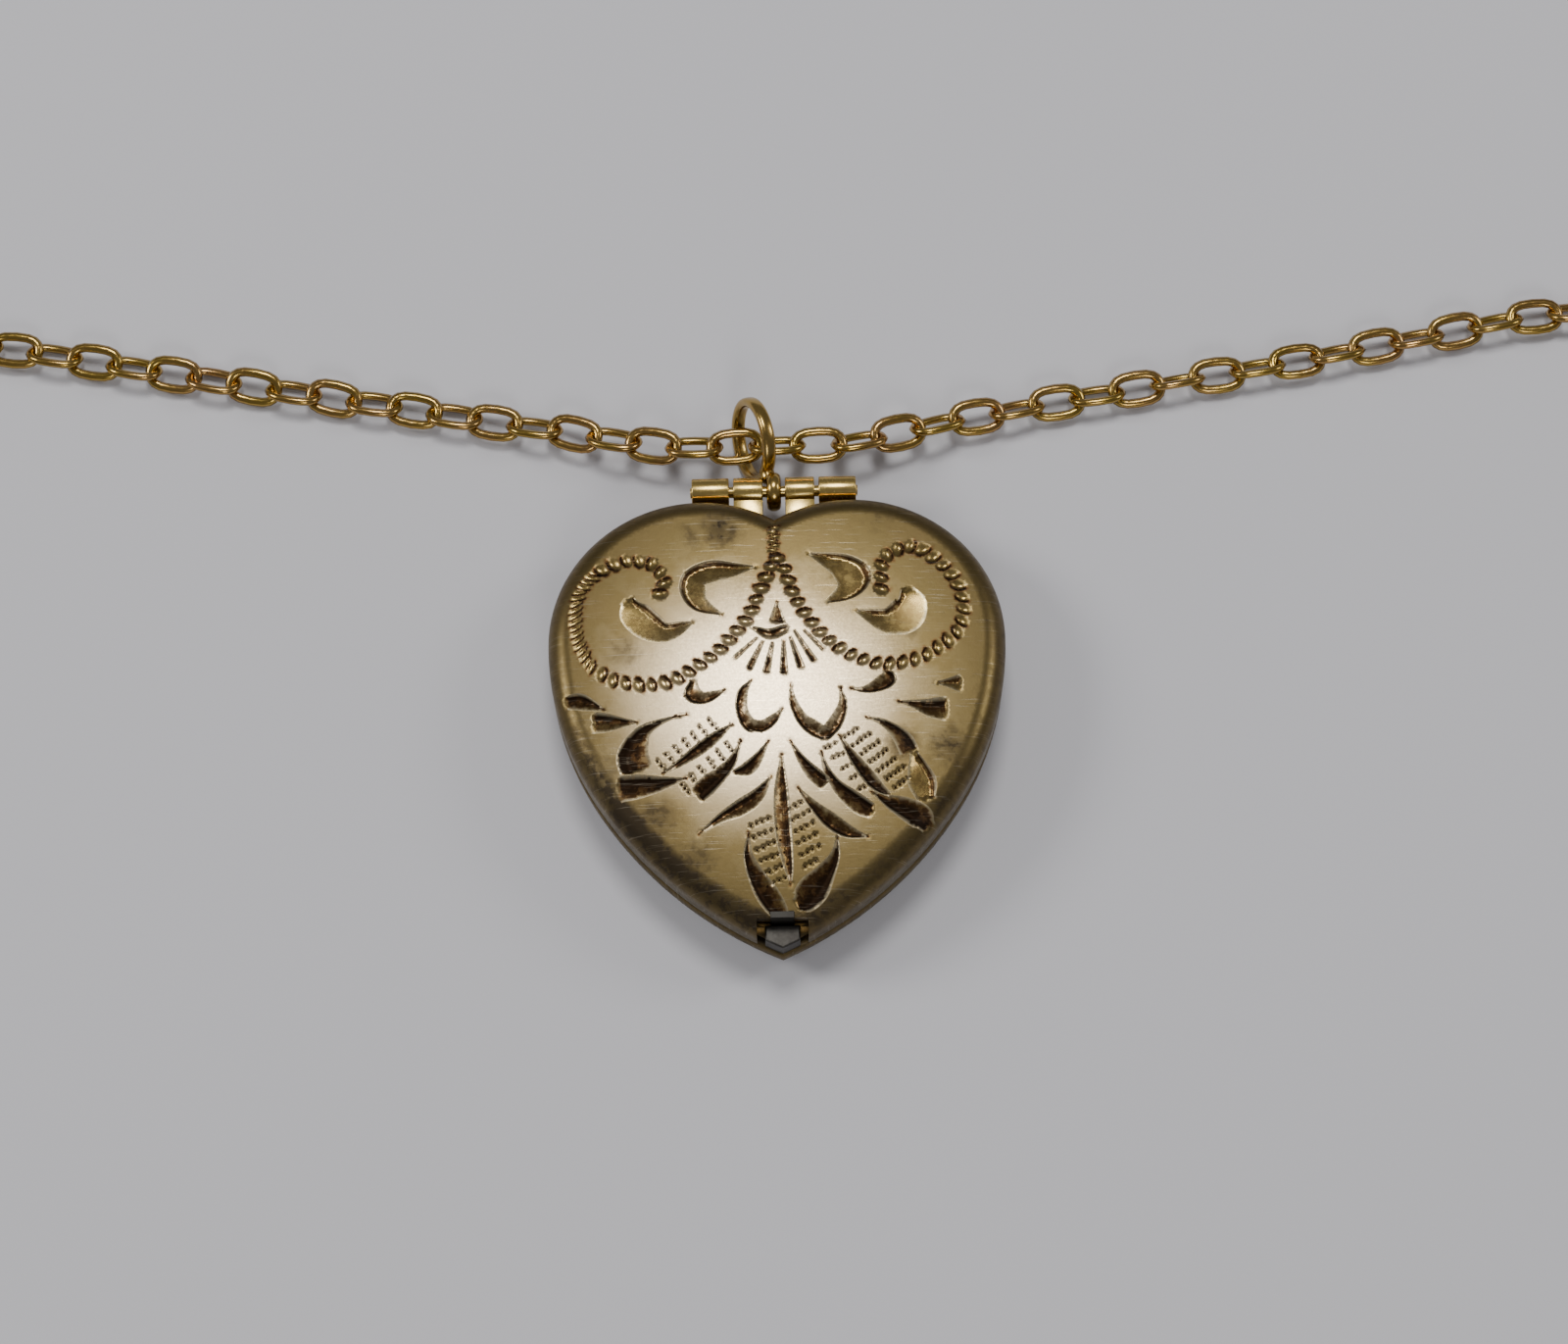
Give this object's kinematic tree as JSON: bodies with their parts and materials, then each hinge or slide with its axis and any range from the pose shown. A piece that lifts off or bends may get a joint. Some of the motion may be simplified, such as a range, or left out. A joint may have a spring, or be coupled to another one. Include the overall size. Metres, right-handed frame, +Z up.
{
  "type": "heart locket",
  "caption": "Heart-shaped hinged locket with an engraved front, a catch at the tip, inner photo frames, and a bail on a fine cable chain.",
  "frame": {"origin": "centre of the flat on the back cover, which the locket rests on, under the heart's centre", "axes": "+Z up through the engraved front cover, +Y from the tip towards the hinge and bail, +X to the right"},
  "size_m": [0.1228, 0.031, 0.0047],
  "materials": {
    "gold": "worn satin gold-filled sheet, tarnished in the cuts",
    "hinge_gold": "worn polished gold-filled",
    "frame_gold": "satin",
    "chain_gold": "worn polished gold-filled wire",
    "steel": "dull silver-grey",
    "window": "clear, slightly yellowed",
    "photo": "aged blank card"
  },
  "bodies": {
    "back_half": {"back_cover": "gold", "back_rim": "gold", "back_knuckles": "hinge_gold", "hinge_pin": "hinge_gold", "catch_tongue": "steel", "back_photo_frame": "frame_gold", "back_window": "window", "back_photo": "photo", "chain_left": "chain_gold", "chain_right": "chain_gold", "chain_left_coil": "chain_gold", "chain_right_coil": "chain_gold", "clasp_body": "chain_gold", "clasp_spring": "steel", "clasp_ring": "chain_gold", "end_ring": "chain_gold"},
    "front_half": {"front_cover": "gold", "front_knuckles": "hinge_gold", "catch_lip": "hinge_gold", "front_photo_frame": "frame_gold", "front_window": "window", "front_photo": "photo"},
    "bail": {"bail_eye": "hinge_gold", "bail_ring": "hinge_gold", "bail_collar": "hinge_gold", "chain_centre": "chain_gold"},
    "clasp_trigger": {"clasp_bolt": "chain_gold", "clasp_knob": "chain_gold"}
  },
  "joints": [
    {"name": "cover_open", "type": "hinge", "parent": "back_half", "child": "front_half", "pos_m": [0, 0.00945, 0.0022], "axis": [-1, 0, 0], "range_deg": [0, 90]},
    {"name": "bail_swing", "type": "hinge", "parent": "back_half", "child": "bail", "pos_m": [0, 0.00945, 0.0022], "axis": [1, 0, 0], "range_deg": [-75, 0]},
    {"name": "clasp_slide", "type": "hinge", "parent": "back_half", "child": "clasp_trigger", "pos_m": [-0.04898, 0.0067, 0.0006], "axis": [0, 0, 1], "range_deg": [0, 58], "stiffness_Nm_per_rad": 0.000002, "springref_deg": -11.46}
  ]
}
